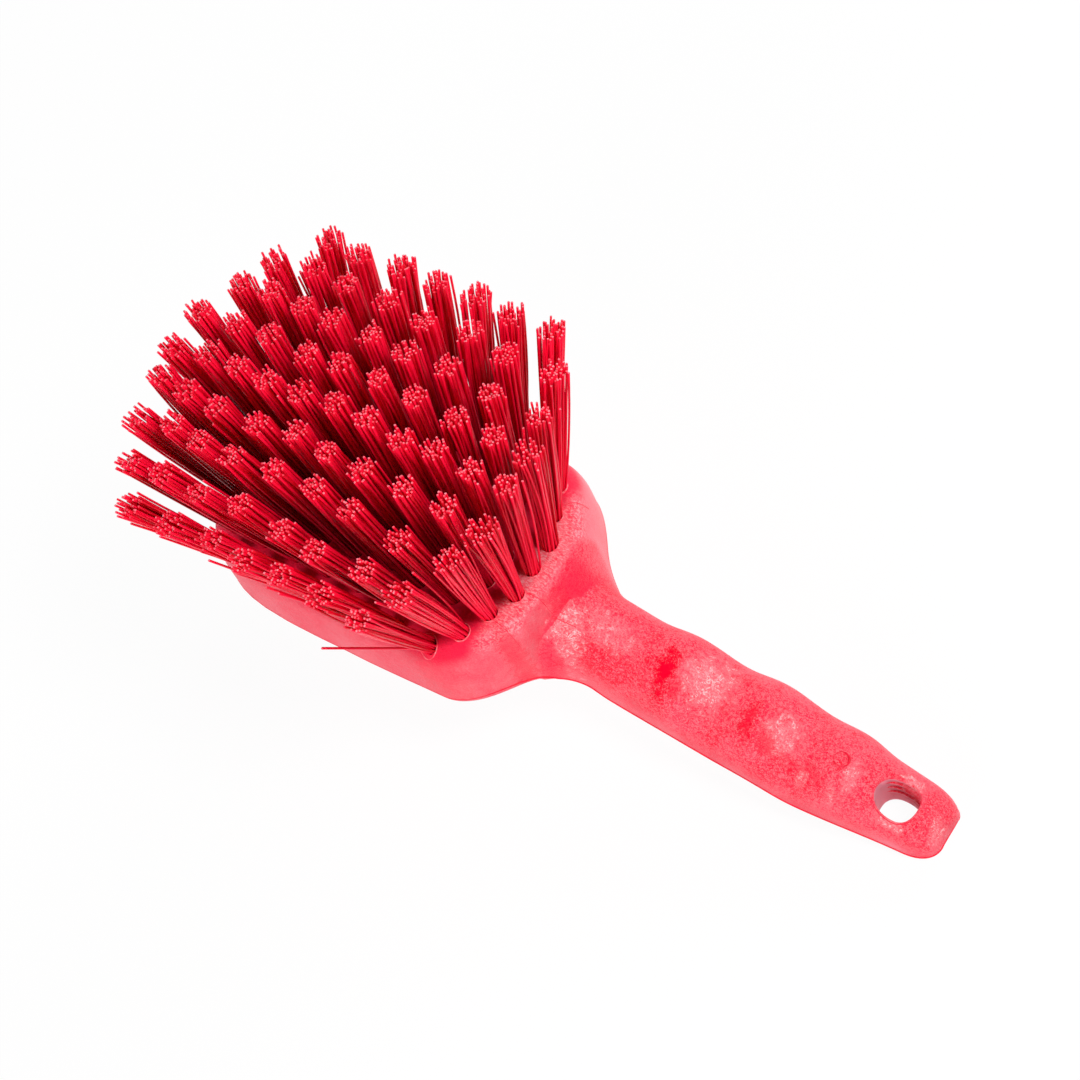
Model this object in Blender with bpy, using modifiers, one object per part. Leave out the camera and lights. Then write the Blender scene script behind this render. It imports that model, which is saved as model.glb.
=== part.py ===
"""Scrub brush: a moulded block with its handle in one piece, nine rows of bristle tufts and the
flat wire staples that anchor them.

Metres, +Z up. The origin is the middle of the flat back of the head, the bristles point up and
the handle runs along +X, dipping away from the bristles so that knuckles clear the work.
"""
import math
import random

import bmesh
import bpy
from mathutils import Matrix, Vector

# Head: a rounded plan whose shoulders slant in to the neck, seen along Z. The shoulder's corner and
# its root at the neck are blended, and the sides draw in a little from the middle to the shoulder.
HEAD_FAR_REACH = 0.0517
HEAD_NEAR_REACH = 0.0550
HEAD_WIDTH = 0.0704
HEAD_THICKNESS = 0.0280
FAR_PLAN_POWER = 4.3
SIDE_BOW = 0.0008
SHOULDER_RUN = 0.0161
CORNER_BLEND = 0.0110
ROOT_BLEND = 0.0111

# Rounds of the head's edges, across and up. The parting line runs between them.
FACE_EDGE_WIDTH = 0.0078
FACE_EDGE_HEIGHT = 0.0150
BACK_EDGE_WIDTH = 0.0078
BACK_EDGE_HEIGHT = 0.0052

# Step from the bristle face down to the top of the neck.
STEP_RUN = 0.0035
STEP_DROP = 0.0094

# Handle: an oval bar that dips from the neck to its rounded end, with its widest line low down.
HANDLE_REACH = 0.1609
HANDLE_DIP_DEG = 14.6
NECK_WIDTH = 0.0232
GRIP_WIDTH = 0.0258
END_WIDTH = 0.0183
NECK_THICKNESS = 0.0262
GRIP_THICKNESS = 0.0179
END_THICKNESS = 0.0134
BACK_BLEND = 0.0120
GRIP_MIDDLE = 0.0986
END_TAPER_RUN = 0.0451
END_ROUND = 0.0103
END_CORNER_POWER = 2.6
EDGE_ROUND_SHARE = 0.85
PARTING_SHARE = 0.10

# Three shallow finger waves on the bristle side of the handle, which also swell its width a little.
FINGER_COUNT = 3
FINGER_PITCH = 0.0249
FINGER_FIRST = 0.0835
FINGER_DEPTH = 0.0032
FINGER_SWELL = 0.0007

# Oval slot through the end of the handle, for hanging, cored along Z.
HANG_LENGTH = 0.0122
HANG_WIDTH = 0.0098
HANG_FROM_END = 0.0128

# Tufts: nine staggered rows along X, as tufts in a row and shares of the field's half sizes. The
# margins are from the middles of the outer tufts to the far end, the step and the sides. A row's
# middle slides towards the handle by a share of the row's tuft spacing, and its ends stay.
FIELD_FAR_MARGIN = 0.0067
FIELD_STEP_MARGIN = 0.0065
FIELD_SIDE_MARGIN = 0.0050
ROW_TUFTS = (7, 8, 9, 10, 11, 10, 9, 8, 7)
ROW_REACH_SHARES = (0.69, 0.835, 0.92, 1.0, 0.995, 1.0, 0.92, 0.835, 0.69)
ROW_PLACE_SHARES = (-1.0, -0.785, -0.525, -0.27, 0.0, 0.27, 0.525, 0.785, 1.0)
ROW_SLIDE_SHARES = (0.09, -0.05, -0.25, 0.11, 0.10, 0.11, -0.25, -0.05, 0.09)
ROOT_RADIUS = 0.0022
HOLE_DEPTH = 0.0150
GAP = 0.0003

# Bristles: how far the tips stand over the face, and how they fan out from the middle. The outer
# rows fan more than their share, by the curl.
BRISTLE_HEIGHT = 0.0530
CROWN_LENGTH_DROP = 0.0044
CROWN_WIDTH_DROP = 0.0061
FAN_LENGTH = 0.0084
FAN_WIDTH = 0.0146
FAN_CURL_SHARE = 0.21
STRANDS_PER_TUFT = 5
STRAND_SIDES = 3
STRAND_RADIUS = 0.00072
STRAND_SEAT_RADIUS = 0.0014
TUFT_TOP_RADIUS = 0.0031
TIP_SCATTER = 0.0005

# Slice of the face that carries a row, let into the block. Roots and strands reach into it so far.
SLICE_WIDTH = 0.0054
SLICE_THICKNESS = 0.0030
SLICE_OVERLAP = 0.0005

# Anchor staples: flat wire, driven edge on into the fold of each tuft.
STAPLE_LENGTH = 0.0044
STAPLE_HEIGHT = 0.0018
STAPLE_THICKNESS = 0.0004
FOLD_THICKNESS = 0.0010
STAPLED_ROWS = (2, 3, 4, 5, 6)

# Looks: linear colours, roughness and metallic value.
BLOCK_COLOUR = (0.90, 0.07, 0.10)
BLOCK_ROUGHNESS = 0.45
BRISTLE_COLOUR = (0.72, 0.0, 0.02)
BRISTLE_ROUGHNESS = 0.28
WIRE_COLOUR = (0.72, 0.55, 0.30)
WIRE_ROUGHNESS = 0.35
WIRE_METALLIC = 1.0

# Cutters run past the surface by this much, and points closer than the merge distance are joined.
# Tessellation counts follow.
OVERRUN = 0.004
MERGE_DISTANCE = 0.00001
FAR_STATIONS = 6
FAR_TURN_STEPS = 8
HEAD_STATIONS = 8
SHOULDER_STATIONS = 14
STEP_STATIONS = 4
HANDLE_STATIONS = 34
END_STATIONS = 6
ARC_STEPS = 5
HOLE_SIDES = 8
ROOT_SIDES = 6
SLOT_SIDES = 24
SEED = 7

FACE_Z = HEAD_THICKNESS
TIP_Z = FACE_Z + BRISTLE_HEIGHT
SEAT_Z = FACE_Z - SLICE_THICKNESS + SLICE_OVERLAP
SHOULDER_START = HEAD_NEAR_REACH - SHOULDER_RUN
STEP_END = HEAD_NEAR_REACH
STEP_START = STEP_END - STEP_RUN
FIELD_FAR_REACH = HEAD_FAR_REACH - FIELD_FAR_MARGIN
FIELD_NEAR_REACH = STEP_START - FIELD_STEP_MARGIN
FIELD_HALF_LENGTH = (FIELD_FAR_REACH + FIELD_NEAR_REACH) / 2
FIELD_MIDDLE = (FIELD_NEAR_REACH - FIELD_FAR_REACH) / 2
FIELD_HALF_WIDTH = HEAD_WIDTH / 2 - FIELD_SIDE_MARGIN


def smooth_step(low, high, x):
    """0 below low, 1 above high, with a soft start and end between them."""
    share = min(max((x - low) / (high - low), 0.0), 1.0)
    return share * share * (3.0 - 2.0 * share)


def blend(a, b, share):
    return a + (b - a) * share


def soft_max(a, b, reach):
    """The larger of a and b, with a fillet where they differ by less than reach."""
    near = max(reach - abs(a - b), 0.0) / reach
    return max(a, b) + near * near * reach / 4


def soft_min(a, b, reach):
    return -soft_max(-a, -b, reach)


def edge_fall(x, edge, width, height):
    """How far an elliptic round of this width and height has fallen at x, where it ends at edge."""
    inside = min(max((x - (edge - width)) / width, 0.0), 1.0)
    return height * (1.0 - math.sqrt(1.0 - inside * inside))


def neck_half_width(x):
    return handle_size(x, NECK_WIDTH, GRIP_WIDTH, END_WIDTH) / 2 + FINGER_SWELL / 2 * finger_wave(x)


def plan_half_width(x):
    """Half width of the whole block at x, seen along Z."""
    if x < 0:
        share = min(-x / HEAD_FAR_REACH, 1.0)
        return HEAD_WIDTH / 2 * (1.0 - share**FAR_PLAN_POWER) ** (1.0 / FAR_PLAN_POWER)
    side = HEAD_WIDTH / 2 - SIDE_BOW * (x / SHOULDER_START) ** 2
    slant = blend(HEAD_WIDTH / 2, NECK_WIDTH / 2, (x - SHOULDER_START) / SHOULDER_RUN)
    head = soft_min(side, slant, CORNER_BLEND)
    return soft_max(max(head, 0.0), neck_half_width(x) * end_share(x), ROOT_BLEND)


def end_share(x):
    """1 along the handle, falling to 0 at its rounded end."""
    inside = min(max((x - (HANDLE_REACH - END_ROUND)) / END_ROUND, 0.0), 1.0)
    return (1.0 - inside**END_CORNER_POWER) ** (1.0 / END_CORNER_POWER)


def handle_size(x, neck, grip, end):
    """A size of the handle's section at x, from its sizes at the neck, the grip and the end."""
    at_grip = blend(neck, grip, smooth_step(STEP_END, GRIP_MIDDLE, x))
    return blend(at_grip, end, smooth_step(HANDLE_REACH - END_TAPER_RUN, HANDLE_REACH, x))


def handle_centre_z(x):
    neck_z = FACE_Z - STEP_DROP - NECK_THICKNESS / 2
    return neck_z - (x - STEP_END) * math.tan(math.radians(HANDLE_DIP_DEG))


def finger_wave(x):
    """The finger waves at x, from -1 in a hollow to 1 on a crest, and 0 past them."""
    last = FINGER_FIRST + (FINGER_COUNT - 1) * FINGER_PITCH
    rise = smooth_step(FINGER_FIRST - FINGER_PITCH, FINGER_FIRST, x)
    fall = smooth_step(last, last + FINGER_PITCH / 2, x)
    return rise * (1.0 - fall) * math.cos(math.tau * (x - FINGER_FIRST) / FINGER_PITCH)


def handle_section(x):
    """Top and bottom height of the handle at x."""
    half = handle_size(x, NECK_THICKNESS, GRIP_THICKNESS, END_THICKNESS) / 2
    centre = handle_centre_z(x)
    top = centre + (half + FINGER_DEPTH / 2 * finger_wave(x)) * end_share(x)
    return top, centre - half * end_share(x)


def section_at(x):
    """Half width, top and bottom height, and the top and bottom edge rounds, at x."""
    handle_top, handle_bottom = handle_section(x)
    far_fall = edge_fall(-x, HEAD_FAR_REACH, FACE_EDGE_WIDTH, FACE_EDGE_HEIGHT)
    far_rise = edge_fall(-x, HEAD_FAR_REACH, BACK_EDGE_WIDTH, BACK_EDGE_HEIGHT)
    on_handle = smooth_step(STEP_START, STEP_END, x)
    past_head = smooth_step(HEAD_NEAR_REACH - BACK_BLEND, HEAD_NEAR_REACH + BACK_BLEND, x)
    top = blend(FACE_Z - far_fall, handle_top, on_handle)
    bottom = blend(far_rise, handle_bottom, past_head)
    width = plan_half_width(x)
    height = top - bottom
    head_share = height / HEAD_THICKNESS
    round_y = EDGE_ROUND_SHARE * width
    round_z = EDGE_ROUND_SHARE * height
    face_round = (
        blend(min(FACE_EDGE_WIDTH, round_y), round_y, on_handle),
        blend(head_share * FACE_EDGE_HEIGHT, round_z * (1.0 - PARTING_SHARE), on_handle),
    )
    back_round = (
        blend(min(BACK_EDGE_WIDTH, round_y), round_y, past_head),
        blend(head_share * BACK_EDGE_HEIGHT, round_z * PARTING_SHARE, past_head),
    )
    return width, top, bottom, face_round, back_round


def half_section(x):
    """Points of the section's +Y half, from the middle of its top to the middle of its bottom."""
    width, top, bottom, (face_y, face_z), (back_y, back_z) = section_at(x)
    points = [(0.0, top)]
    for step in range(ARC_STEPS + 1):
        turn = math.pi / 2 * step / ARC_STEPS
        points.append((width - face_y + face_y * math.sin(turn), top - face_z + face_z * math.cos(turn)))
    for step in range(ARC_STEPS + 1):
        turn = math.pi / 2 * step / ARC_STEPS
        points.append((width - back_y + back_y * math.cos(turn), bottom + back_z - back_z * math.sin(turn)))
    points.append((0.0, bottom))
    return [Vector((x, y, z)) for y, z in points]


def spread(low, high, count):
    """Places in equal steps from low, left out, to high."""
    return [blend(low, high, step / count) for step in range(1, count + 1)]


def stations():
    """Places along X of the block's sections, closer where the outline turns."""
    places = []
    for step in range(1, FAR_STATIONS + 1):
        share = step / FAR_TURN_STEPS
        turn = math.pi / 4 * (share + share * share)
        places.append(-HEAD_FAR_REACH * math.cos(turn) ** (2 / FAR_PLAN_POWER))
    corner = SHOULDER_START - CORNER_BLEND / 2
    root = STEP_END + ROOT_BLEND
    end = HANDLE_REACH - END_ROUND
    places += spread(places[-1], corner, HEAD_STATIONS)
    places += spread(corner, STEP_START, SHOULDER_STATIONS - STEP_STATIONS)
    places += spread(STEP_START, STEP_END, STEP_STATIONS)
    places += spread(STEP_END, root, STEP_STATIONS)
    places += spread(root, end, HANDLE_STATIONS)
    for step in range(1, END_STATIONS + 1):
        turn = math.pi / 2 * step / (END_STATIONS + 1)
        places.append(end + END_ROUND * math.sin(turn))
    return places


def new_object(name, mesh, collection):
    thing = bpy.data.objects.new(name, mesh)
    collection.objects.link(thing)
    return thing


def mesh_from(bm, name):
    mesh = bpy.data.meshes.new(name)
    bm.to_mesh(mesh)
    bm.free()
    return mesh


def body_mesh():
    """Half of the block's outer shape, open at the plane y = 0: a loft through its sections."""
    bm = bmesh.new()
    rings = [[bm.verts.new(point) for point in half_section(x)] for x in stations()]
    for ring, ahead in zip(rings, rings[1:]):
        for corner in range(len(ring) - 1):
            bm.faces.new((ring[corner], ring[corner + 1], ahead[corner + 1], ahead[corner]))
    bm.faces.new(list(reversed(rings[0])))
    bm.faces.new(rings[-1])
    bmesh.ops.remove_doubles(bm, verts=bm.verts, dist=MERGE_DISTANCE)
    bmesh.ops.recalc_face_normals(bm, faces=bm.faces)
    return mesh_from(bm, "block_half")


def add_box(bm, centre, size):
    bmesh.ops.create_cube(bm, size=1, matrix=Matrix.Translation(centre) @ Matrix.Diagonal((*size, 1)))


def add_rod(bm, start, end, radius, sides, spin=0.0):
    """A straight rod with flat ends between two points."""
    along = Vector(end) - Vector(start)
    turn = along.to_track_quat("Z", "Y").to_matrix().to_4x4()
    place = Matrix.Translation((Vector(start) + Vector(end)) / 2) @ turn @ Matrix.Rotation(spin, 4, "Z")
    bmesh.ops.create_cone(
        bm, cap_ends=True, segments=sides, radius1=radius, radius2=radius, depth=along.length, matrix=place
    )


def tuft_places(row):
    """Middles of a row's tufts on the face, seen along Z."""
    count = ROW_TUFTS[row]
    far = -FIELD_FAR_REACH * ROW_REACH_SHARES[row]
    near = FIELD_NEAR_REACH * ROW_REACH_SHARES[row]
    y = FIELD_HALF_WIDTH * ROW_PLACE_SHARES[row]
    slide = ROW_SLIDE_SHARES[row] * (near - far) / (count - 1)
    places = []
    for number in range(count):
        share = number / (count - 1)
        places.append((blend(far, near, share) + 4 * share * (1 - share) * slide, y))
    return places


def tuft_tip(x, y):
    """Middle of a tuft's top: tufts lean outwards with their distance from the middle of the field."""
    along = (x - FIELD_MIDDLE) / FIELD_HALF_LENGTH
    across = y / FIELD_HALF_WIDTH
    drop = CROWN_LENGTH_DROP * along * along + CROWN_WIDTH_DROP * across * across
    curled = blend(across, across**3, FAN_CURL_SHARE)
    return Vector((x + FAN_LENGTH * along, y + FAN_WIDTH * curled, TIP_Z - drop))


def add_modifier_boolean(thing, operation, other):
    modifier = thing.modifiers.new(operation.lower(), "BOOLEAN")
    modifier.operation = operation
    modifier.solver = "EXACT"
    modifier.object = other


def add_mirror(thing):
    modifier = thing.modifiers.new("mirror", "MIRROR")
    modifier.use_axis = (False, True, False)
    modifier.merge_threshold = MERGE_DISTANCE


def make_guide(name, mesh, cutters):
    guide = new_object(name, mesh, cutters)
    guide.hide_render = True
    guide.display_type = "WIRE"
    return guide


def slice_box(row, clearance):
    """Middle and size of the box that a row's slice fills, wider by the clearance on each side."""
    places = tuft_places(row)
    length = places[-1][0] - places[0][0] + SLICE_WIDTH
    low = FACE_Z - SLICE_THICKNESS - clearance
    high = FACE_Z + OVERRUN
    centre = ((places[0][0] + places[-1][0]) / 2, places[0][1], (low + high) / 2)
    return centre, (length + 2 * clearance, SLICE_WIDTH + 2 * clearance, high - low)


def make_channels(cutters):
    """Channels in the face, one for each row's slice."""
    bm = bmesh.new()
    for row in range(len(ROW_TUFTS)):
        add_box(bm, *slice_box(row, GAP))
    return make_guide("channels", mesh_from(bm, "channels"), cutters)


def make_tuft_holes(cutters):
    """Blind holes for the tufts' roots."""
    bm = bmesh.new()
    radius = (ROOT_RADIUS + GAP) / math.cos(math.pi / HOLE_SIDES)
    for row in range(len(ROW_TUFTS)):
        for x, y in tuft_places(row):
            add_rod(bm, (x, y, FACE_Z - HOLE_DEPTH), (x, y, FACE_Z + OVERRUN), radius, HOLE_SIDES)
    return make_guide("tuft_holes", mesh_from(bm, "tuft_holes"), cutters)


def make_hang_slot(cutters):
    """The oval hole near the handle's end."""
    x = HANDLE_REACH - HANG_FROM_END
    depth = 2 * GRIP_THICKNESS
    bm = bmesh.new()
    radius = HANG_WIDTH / 2
    bmesh.ops.create_cone(bm, cap_ends=True, segments=SLOT_SIDES, radius1=radius, radius2=radius, depth=depth)
    slot = make_guide("hang_slot", mesh_from(bm, "hang_slot"), cutters)
    slot.scale = (HANG_LENGTH / HANG_WIDTH, 1, 1)
    slot.location = (x, 0, handle_centre_z(x))
    return slot


def make_block(half, parts, cutters):
    """Block and handle: one foamed moulding with channels, tuft holes and the hanging hole."""
    block = new_object("handle_block", half, parts)
    add_mirror(block)
    for cutter in (make_channels(cutters), make_tuft_holes(cutters), make_hang_slot(cutters)):
        add_modifier_boolean(block, "DIFFERENCE", cutter)
    return block


def strand_spots(rng):
    """Places of a tuft's strands round its middle, as angles with a seeded turn."""
    turn = rng.uniform(0, math.tau)
    return [turn + math.tau * number / STRANDS_PER_TUFT for number in range(STRANDS_PER_TUFT)]


def add_tuft_strands(bm, x, y, rng):
    """Strands of one tuft, from inside the slice to the tips, each apart from the others."""
    seat = Vector((x, y, SEAT_Z))
    top = tuft_tip(x, y)
    for angle in strand_spots(rng):
        out = Vector((math.cos(angle), math.sin(angle), 0))
        height = Vector((0, 0, rng.uniform(-TIP_SCATTER, TIP_SCATTER)))
        start = seat + out * STRAND_SEAT_RADIUS
        end = top + out * TUFT_TOP_RADIUS + height
        add_rod(bm, start, end, STRAND_RADIUS, STRAND_SIDES, angle)


def make_bristle_row(row, body, parts, cutters, rng):
    """One row of tufts: a slice of the face, the roots under it and the strands over it."""
    bm = bmesh.new()
    add_box(bm, *slice_box(row, 0))
    name = f"bristle_row_{row + 1}"
    thing = new_object(name, mesh_from(bm, name), parts)
    roots = bmesh.new()
    strands = bmesh.new()
    bottom = FACE_Z - HOLE_DEPTH + GAP
    for x, y in tuft_places(row):
        add_rod(roots, (x, y, bottom), (x, y, SEAT_Z), ROOT_RADIUS, ROOT_SIDES)
        add_tuft_strands(strands, x, y, rng)
    add_modifier_boolean(thing, "INTERSECT", body)
    for kind, guide in (("roots", roots), ("strands", strands)):
        add_modifier_boolean(thing, "UNION", make_guide(f"{kind}_{row + 1}", mesh_from(guide, kind), cutters))
    if row in STAPLED_ROWS:
        add_modifier_boolean(thing, "DIFFERENCE", make_windows(row, cutters))
    return thing


def make_windows(row, cutters):
    """Windows across a row's roots, one for each staple."""
    bm = bmesh.new()
    size = (2 * ROOT_RADIUS + OVERRUN, STAPLE_THICKNESS + 2 * GAP, STAPLE_HEIGHT + 2 * GAP)
    for x, y in tuft_places(row):
        add_box(bm, (x, y, staple_z()), size)
    return make_guide(f"windows_{row + 1}", mesh_from(bm, "windows"), cutters)


def staple_z():
    return FACE_Z - HOLE_DEPTH + GAP + FOLD_THICKNESS + GAP + STAPLE_HEIGHT / 2


def make_staples(row, parts):
    """A row's staples, each in the window of its tuft's root."""
    bm = bmesh.new()
    add_box(bm, (0, 0, 0), (STAPLE_LENGTH, STAPLE_THICKNESS, STAPLE_HEIGHT))
    mesh = mesh_from(bm, f"staple_{row + 1}")
    staples = []
    for number, (x, y) in enumerate(tuft_places(row)):
        staple = new_object(f"staple_{row + 1}_{number + 1}", mesh, parts)
        staple.location = (x, y, staple_z())
        staples.append(staple)
    return staples


def make_material(name, colour, roughness, metallic=0.0):
    material = bpy.data.materials.new(name)
    material.use_nodes = True
    shader = material.node_tree.nodes["Principled BSDF"]
    shader.inputs["Base Color"].default_value = (*colour, 1)
    shader.inputs["Roughness"].default_value = roughness
    shader.inputs["Metallic"].default_value = metallic
    return material


def give_material(things, material):
    for thing in things:
        if not thing.data.materials:
            thing.data.materials.append(material)


def build():
    for thing in list(bpy.data.objects):
        bpy.data.objects.remove(thing, do_unlink=True)
    parts = bpy.data.collections.new("scrub_brush")
    cutters = bpy.data.collections.new("cutters")
    for collection in (parts, cutters):
        bpy.context.scene.collection.children.link(collection)
    rng = random.Random(SEED)
    half = body_mesh()
    half.shade_smooth()
    body = make_guide("body", half, cutters)
    add_mirror(body)
    block = make_block(half, parts, cutters)
    rows = [make_bristle_row(row, body, parts, cutters, rng) for row in range(len(ROW_TUFTS))]
    staples = [staple for row in STAPLED_ROWS for staple in make_staples(row, parts)]
    give_material([block], make_material("red_foamed_plastic", BLOCK_COLOUR, BLOCK_ROUGHNESS))
    give_material(rows, make_material("red_bristle", BRISTLE_COLOUR, BRISTLE_ROUGHNESS))
    give_material(staples, make_material("staple_wire", WIRE_COLOUR, WIRE_ROUGHNESS, WIRE_METALLIC))


build()
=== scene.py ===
"""Scrub brush: the look of the moulded block, its 79 bristle tufts and their anchor staples.

Metres, in the frame of the solids: origin in the middle of the head's flat back, +Z up through the
bristles, +X along the handle.
"""

import math
import random

import bmesh
import bpy
from mathutils import Matrix, Vector, noise


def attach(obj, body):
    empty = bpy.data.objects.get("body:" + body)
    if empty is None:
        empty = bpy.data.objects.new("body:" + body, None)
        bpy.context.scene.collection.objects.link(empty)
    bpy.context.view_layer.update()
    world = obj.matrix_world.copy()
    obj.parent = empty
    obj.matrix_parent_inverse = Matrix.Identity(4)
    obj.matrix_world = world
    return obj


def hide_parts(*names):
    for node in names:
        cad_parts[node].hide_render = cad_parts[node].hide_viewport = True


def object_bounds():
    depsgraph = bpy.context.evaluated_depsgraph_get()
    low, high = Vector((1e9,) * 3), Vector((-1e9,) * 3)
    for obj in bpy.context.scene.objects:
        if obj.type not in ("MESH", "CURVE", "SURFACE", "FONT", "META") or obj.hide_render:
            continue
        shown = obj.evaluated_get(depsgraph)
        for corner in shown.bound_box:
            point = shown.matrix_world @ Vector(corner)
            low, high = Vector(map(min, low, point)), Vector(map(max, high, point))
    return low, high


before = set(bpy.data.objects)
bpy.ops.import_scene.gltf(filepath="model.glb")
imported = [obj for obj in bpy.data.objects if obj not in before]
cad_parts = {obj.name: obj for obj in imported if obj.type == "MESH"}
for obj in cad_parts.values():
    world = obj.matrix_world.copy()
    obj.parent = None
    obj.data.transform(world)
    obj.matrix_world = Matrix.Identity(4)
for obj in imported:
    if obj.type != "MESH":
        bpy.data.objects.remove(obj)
cad_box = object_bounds()

# Camera, from the photograph's perspective: angles in degrees, and the point that it looks at.
CAMERA_AZIMUTH = 56.8
CAMERA_ELEVATION = 56.6
CAMERA_ROLL = -27.6
CAMERA_DISTANCE = 0.7833
CAMERA_AIM = Vector((0.03426, 0.01321, 0.01384))
CAMERA_LENS = 98.2
CAMERA_SENSOR = 36.0
CAMERA_CLIP_START = 0.01

# Head, as in the solids.
HEAD_FAR_REACH = 0.0517
HEAD_NEAR_REACH = 0.0550
HEAD_WIDTH = 0.0704
HEAD_THICKNESS = 0.0280
FAR_PLAN_POWER = 4.3
SIDE_BOW = 0.0008
SHOULDER_RUN = 0.0161
CORNER_BLEND = 0.0110
ROOT_BLEND = 0.0111
FACE_EDGE_WIDTH = 0.0078
FACE_EDGE_HEIGHT = 0.0150
BACK_EDGE_WIDTH = 0.0078
BACK_EDGE_HEIGHT = 0.0052
STEP_RUN = 0.0035
STEP_DROP = 0.0094

# Handle, as in the solids but for its hanging slot, which leans and is a little wider here.
HANDLE_REACH = 0.1609
HANDLE_DIP = math.radians(14.6)
NECK_WIDTH = 0.0232
GRIP_WIDTH = 0.0258
END_WIDTH = 0.0183
NECK_THICKNESS = 0.0262
GRIP_THICKNESS = 0.0179
END_THICKNESS = 0.0134
BACK_BLEND = 0.0120
GRIP_MIDDLE = 0.0986
END_TAPER_RUN = 0.0451
END_ROUND = 0.0103
END_CORNER_POWER = 2.6
EDGE_ROUND_SHARE = 0.85
PARTING_SHARE = 0.10
FINGER_COUNT = 3
FINGER_PITCH = 0.0249
FINGER_FIRST = 0.0835
FINGER_DEPTH = 0.0032
FINGER_SWELL = 0.0007
FINGER_SWELL_FADE = 0.3
HANG_LENGTH = 0.0121
HANG_WIDTH = 0.0107
HANG_FROM_END = 0.0128
HANG_SHIFT = (-0.00035, -0.0016)
HANG_LEAN = 0.093

# Step from the face down to the handle, in more detail than in the solids: a crease in its foot that
# bends back on the -Y side, and a soft foot on the +Y side. The two ranges lie across the plan.
STEP_TOP = 0.0506
STEP_CREASE = 0.0540
CREASE_BEND = 0.0024
SOFT_FOOT = 0.0032
STEP_PAST = 0.0580
BEND_SIDE = (0.005, 0.014)
SOFT_SIDE = (-0.002, 0.009)

# Tuft field, as in the solids.
FIELD_FAR_MARGIN = 0.0067
FIELD_STEP_MARGIN = 0.0065
FIELD_SIDE_MARGIN = 0.0050
ROW_TUFTS = (7, 8, 9, 10, 11, 10, 9, 8, 7)
ROW_REACH_SHARES = (0.69, 0.835, 0.92, 1.0, 0.995, 1.0, 0.92, 0.835, 0.69)
ROW_PLACE_SHARES = (-1.0, -0.785, -0.525, -0.27, 0.0, 0.27, 0.525, 0.785, 1.0)
ROW_SLIDE_SHARES = (0.09, -0.05, -0.25, 0.11, 0.10, 0.11, -0.25, -0.05, 0.09)
HOLE_DEPTH = 0.0150
BRISTLE_HEIGHT = 0.0530
CROWN_LENGTH_DROP = 0.0044
CROWN_WIDTH_DROP = 0.0061
FAN_LENGTH = 0.0084
FAN_WIDTH = 0.0146
FAN_CURL_SHARE = 0.21

# Filaments: each tuft is packed in its hole and opens towards its top.
FILAMENTS = 42
FILAMENT_RADIUS = 0.00033
FILAMENT_SIDES = 6
FILAMENT_RINGS = 9
BUNDLE_RADIUS = 0.00230
TUFT_TOP_RADIUS = 0.0034
RIM_TOP_RADIUS = 0.0038
NEAR_TOP_RADIUS = 0.0045
WIDE_NEAR_ROWS = (1, 2, 3)
TOP_RADIUS_SPREAD = 0.08
SEAT_DEPTH_SHARE = 0.8
SPOT_NUDGE = 0.35
TIP_SCATTER = 0.00030
TIP_HEIGHT_SCATTER = 0.00045
FILAMENT_BEND = 0.0004
STRAY_SHARE = 0.03
STRAY_REACH = 0.0022
LOW_STRAY_SHARE = 0.06
LOW_STRAY_DROP = (0.002, 0.008)
LOOSE_FILAMENT = ((0.0294, -0.0313, 0.0250), (0.0195, -0.0503, 0.0502))
LOOSE_TONE = 0.8
# The share of painted root shade on the tufts second from the handle's end.
SECOND_TUFT_ROOT_SHADE = 0.6
FIELD_LEAN = Vector((-0.0007, -0.0010, 0.0))
TUFT_LEAN = 0.0008
CUT_ROUND = 0.00006

# Tuft holes: a mouth that leans with its tuft over a straight bore, with a torn lip round it.
MOUTH_RADIUS = 0.00255
MOUTH_DEPTH = 0.0060
BORE_RADIUS = 0.00245
BORE_REACH_SHARE = 0.7
BORE_COVER = 0.0008
LIP_RADIUS = 0.00017
LIP_SPREAD = 0.00004
LIP_SIDES = 26
LIP_WAVE = 0.6
LIP_ROUGHNESS = 0.7
LIP_TUBE_WOBBLE = 0.45
LIP_REACH_WOBBLE = 0.6
LIP_FIELD_EDGE = 0.0300

# Block finish: flash and burrs where the mould closed, a slight unevenness, an ejector pin's mark and
# the seams of the mould's inserts.
FLASH_RADIUS = 0.00028
FAINT_FLASH_RADIUS = 0.00010
HEAVY_FLASH_START = (0.036, 0.052)
HEAVY_FLASH_SIDE = (-0.002, 0.006)
BURR_RADIUS = 0.00020
UNEVEN_HEIGHT = 0.00010
UNEVEN_SCALE = 90.0
PIN_MARK_PLACE = (0.1322, -0.0005)
PIN_MARK_RADIUS = 0.0020
PIN_MARK_DEPTH = 0.00035
PIN_CUT_HEIGHT = 0.004
PIN_TILT_REACH = 0.002
# The pin's ring is heavier on the side where its painted shade stands for the shade in the mark's wall.
PIN_RING_RADIUS = 0.00022
PIN_RING_SHADE_SIDE = 0.6
PIN_RING_LIGHT_SHARE = 0.3
SEAM_RADIUS = 0.00011
SEAMS = (
    ((0.0430, -0.0170), (0.0474, -0.0177), (0.0505, -0.0180)),
    ((0.0461, -0.0066), (0.0530, -0.0065), (0.0545, -0.0061), (0.0592, -0.0055)),
    ((0.0430, 0.0205), (0.0448, 0.0226), (0.0456, 0.0240)),
)

# Hanging slot: ledges that its core left on one side of its wall, and its rims. Turns are in radians.
SLOT_LEDGE = 0.0011
SLOT_LEDGE_PITCH = 0.0028
SLOT_LEDGE_WAVE = 0.30
SLOT_LEDGE_WAVE_TURN = 0.9
SLOT_LEDGE_TURN = 0.5
SLOT_LEDGE_FADE = (0.55, 0.80)
SLOT_LIP = 0.0004
SLOT_LIP_SPREAD = 4.5
SLOT_LIP_TURN = 0.2
SLOT_SQUARENESS = 0.86
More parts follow.
